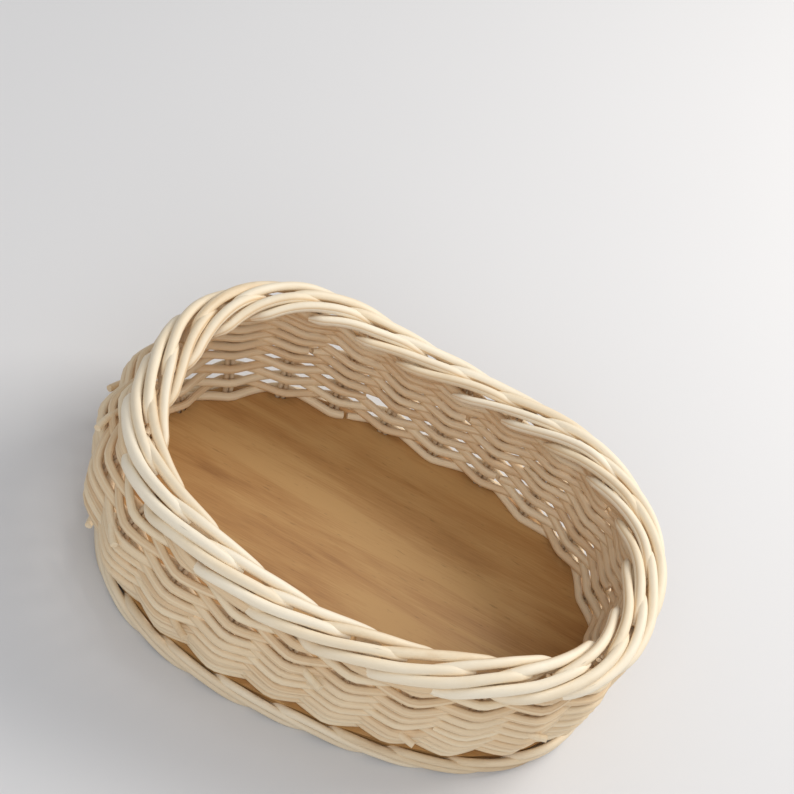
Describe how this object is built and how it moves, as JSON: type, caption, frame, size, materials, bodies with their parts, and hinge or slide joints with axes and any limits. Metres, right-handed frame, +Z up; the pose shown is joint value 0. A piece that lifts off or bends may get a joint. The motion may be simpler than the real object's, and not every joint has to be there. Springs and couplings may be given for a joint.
{
  "type": "banneton basket",
  "caption": "Oval proofing basket with a plywood base, woven willow wall raised at the ends, rolled rim and a low foot.",
  "frame": {"origin": "under the middle of the foot, on the surface the basket stands on", "axes": "+X along the oval towards its lower, narrower end, +Y across the oval, +Z up out of the mouth"},
  "size_m": [0.301, 0.2162, 0.1017],
  "materials": {
    "plywood": "sanded birch plywood, lightly oiled",
    "wall_willow": "peeled white willow, satin",
    "stake_willow": "peeled white willow, satin",
    "rim_willow": "peeled white willow, satin",
    "foot_willow": "peeled white willow, satin"
  },
  "bodies": {
    "root": {"foot_strand_inner_1": "foot_willow", "foot_strand_inner_2": "foot_willow", "foot_strand_outer_1": "foot_willow", "foot_strand_outer_2": "foot_willow", "plywood_base": "plywood", "rim_strand_1": "rim_willow", "rim_strand_2": "rim_willow", "rim_strand_3": "rim_willow", "rim_strand_4": "rim_willow", "short_weavers_left_1": "wall_willow", "short_weavers_left_3": "wall_willow", "short_weavers_right_2": "wall_willow", "stakes_back": "stake_willow", "stakes_front": "stake_willow", "stakes_left_end": "stake_willow", "stakes_right_end": "stake_willow", "upper_wale_1": "wall_willow", "upper_wale_2": "wall_willow", "weaver_01": "wall_willow", "weaver_02": "wall_willow", "weaver_03": "wall_willow", "weaver_04": "wall_willow", "weaver_05": "wall_willow", "weaver_06": "wall_willow", "weaver_07": "wall_willow", "weaver_08": "wall_willow", "weaver_09": "wall_willow", "weaver_10": "wall_willow", "weaver_11": "wall_willow", "weaver_12": "wall_willow", "weaver_13": "wall_willow", "weaver_14": "wall_willow", "weaver_15": "wall_willow", "weaver_16": "wall_willow"}
  },
  "joints": []
}
